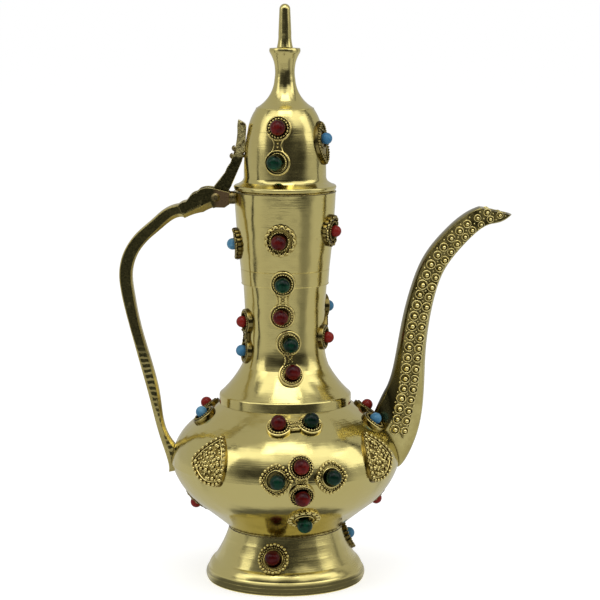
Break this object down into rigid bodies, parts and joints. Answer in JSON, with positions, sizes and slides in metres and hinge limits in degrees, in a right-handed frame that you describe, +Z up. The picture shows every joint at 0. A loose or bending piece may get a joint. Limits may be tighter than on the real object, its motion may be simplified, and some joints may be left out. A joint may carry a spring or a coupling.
{
  "type": "coffee pot",
  "caption": "Brass coffee pot with round belly on a flared foot, tall neck, hinged domed lid with finial, swan-neck spout, thin handle and coloured beads in filigree cups.",
  "frame": {"origin": "centre of the foot's base ring", "axes": "+Z up along the pot's axis, +X towards the spout, -X towards the handle, -Y towards the side shown in the picture"},
  "size_m": [0.1889, 0.1251, 0.2794],
  "materials": {
    "polished_brass": "polished, faint turning lines",
    "cast_brass": "cast and filed, darkened in the hollows",
    "filigree": "stamped, bright on the edges and dark in the hollows",
    "red_bead": "glossy",
    "green_bead": "glossy",
    "turquoise_bead": "glossy"
  },
  "bodies": {
    "pot": {"belly_beads_green": "green_bead", "belly_beads_red": "red_bead", "belly_diamonds": "filigree", "belly_pair_settings": "filigree", "foot": "polished_brass", "foot_beads_red": "red_bead", "foot_beads_turquoise": "turquoise_bead", "foot_rosettes": "filigree", "handle": "cast_brass", "hinge_pin": "cast_brass", "leaf_plaques": "filigree", "lower_bowl": "polished_brass", "neck_beads_green": "green_bead", "neck_beads_red": "red_bead", "neck_beads_turquoise": "turquoise_bead", "neck_front_settings": "filigree", "neck_lower": "polished_brass", "neck_lug": "cast_brass", "neck_rosettes": "filigree", "neck_side_settings": "filigree", "neck_upper": "polished_brass", "shoulder_beads_green": "green_bead", "shoulder_beads_red": "red_bead", "shoulder_beads_turquoise": "turquoise_bead", "shoulder_settings": "filigree", "spout": "cast_brass", "spout_bands": "cast_brass", "under_beads_green": "green_bead", "under_beads_red": "red_bead", "under_rosettes": "filigree", "upper_bowl": "polished_brass"},
    "lid": {"lid_beads_green": "green_bead", "lid_beads_red": "red_bead", "lid_beads_turquoise": "turquoise_bead", "lid_dome": "polished_brass", "lid_finial": "polished_brass", "lid_pair_settings": "filigree", "lid_side_plaque": "filigree", "lid_strap": "cast_brass", "strap_rivets": "cast_brass"}
  },
  "joints": [
    {"name": "lid_hinge", "type": "hinge", "parent": "pot", "child": "lid", "pos_m": [-0.0332, 0, 0.1875], "axis": [0, -1, 0], "range_deg": [0, 100]}
  ]
}
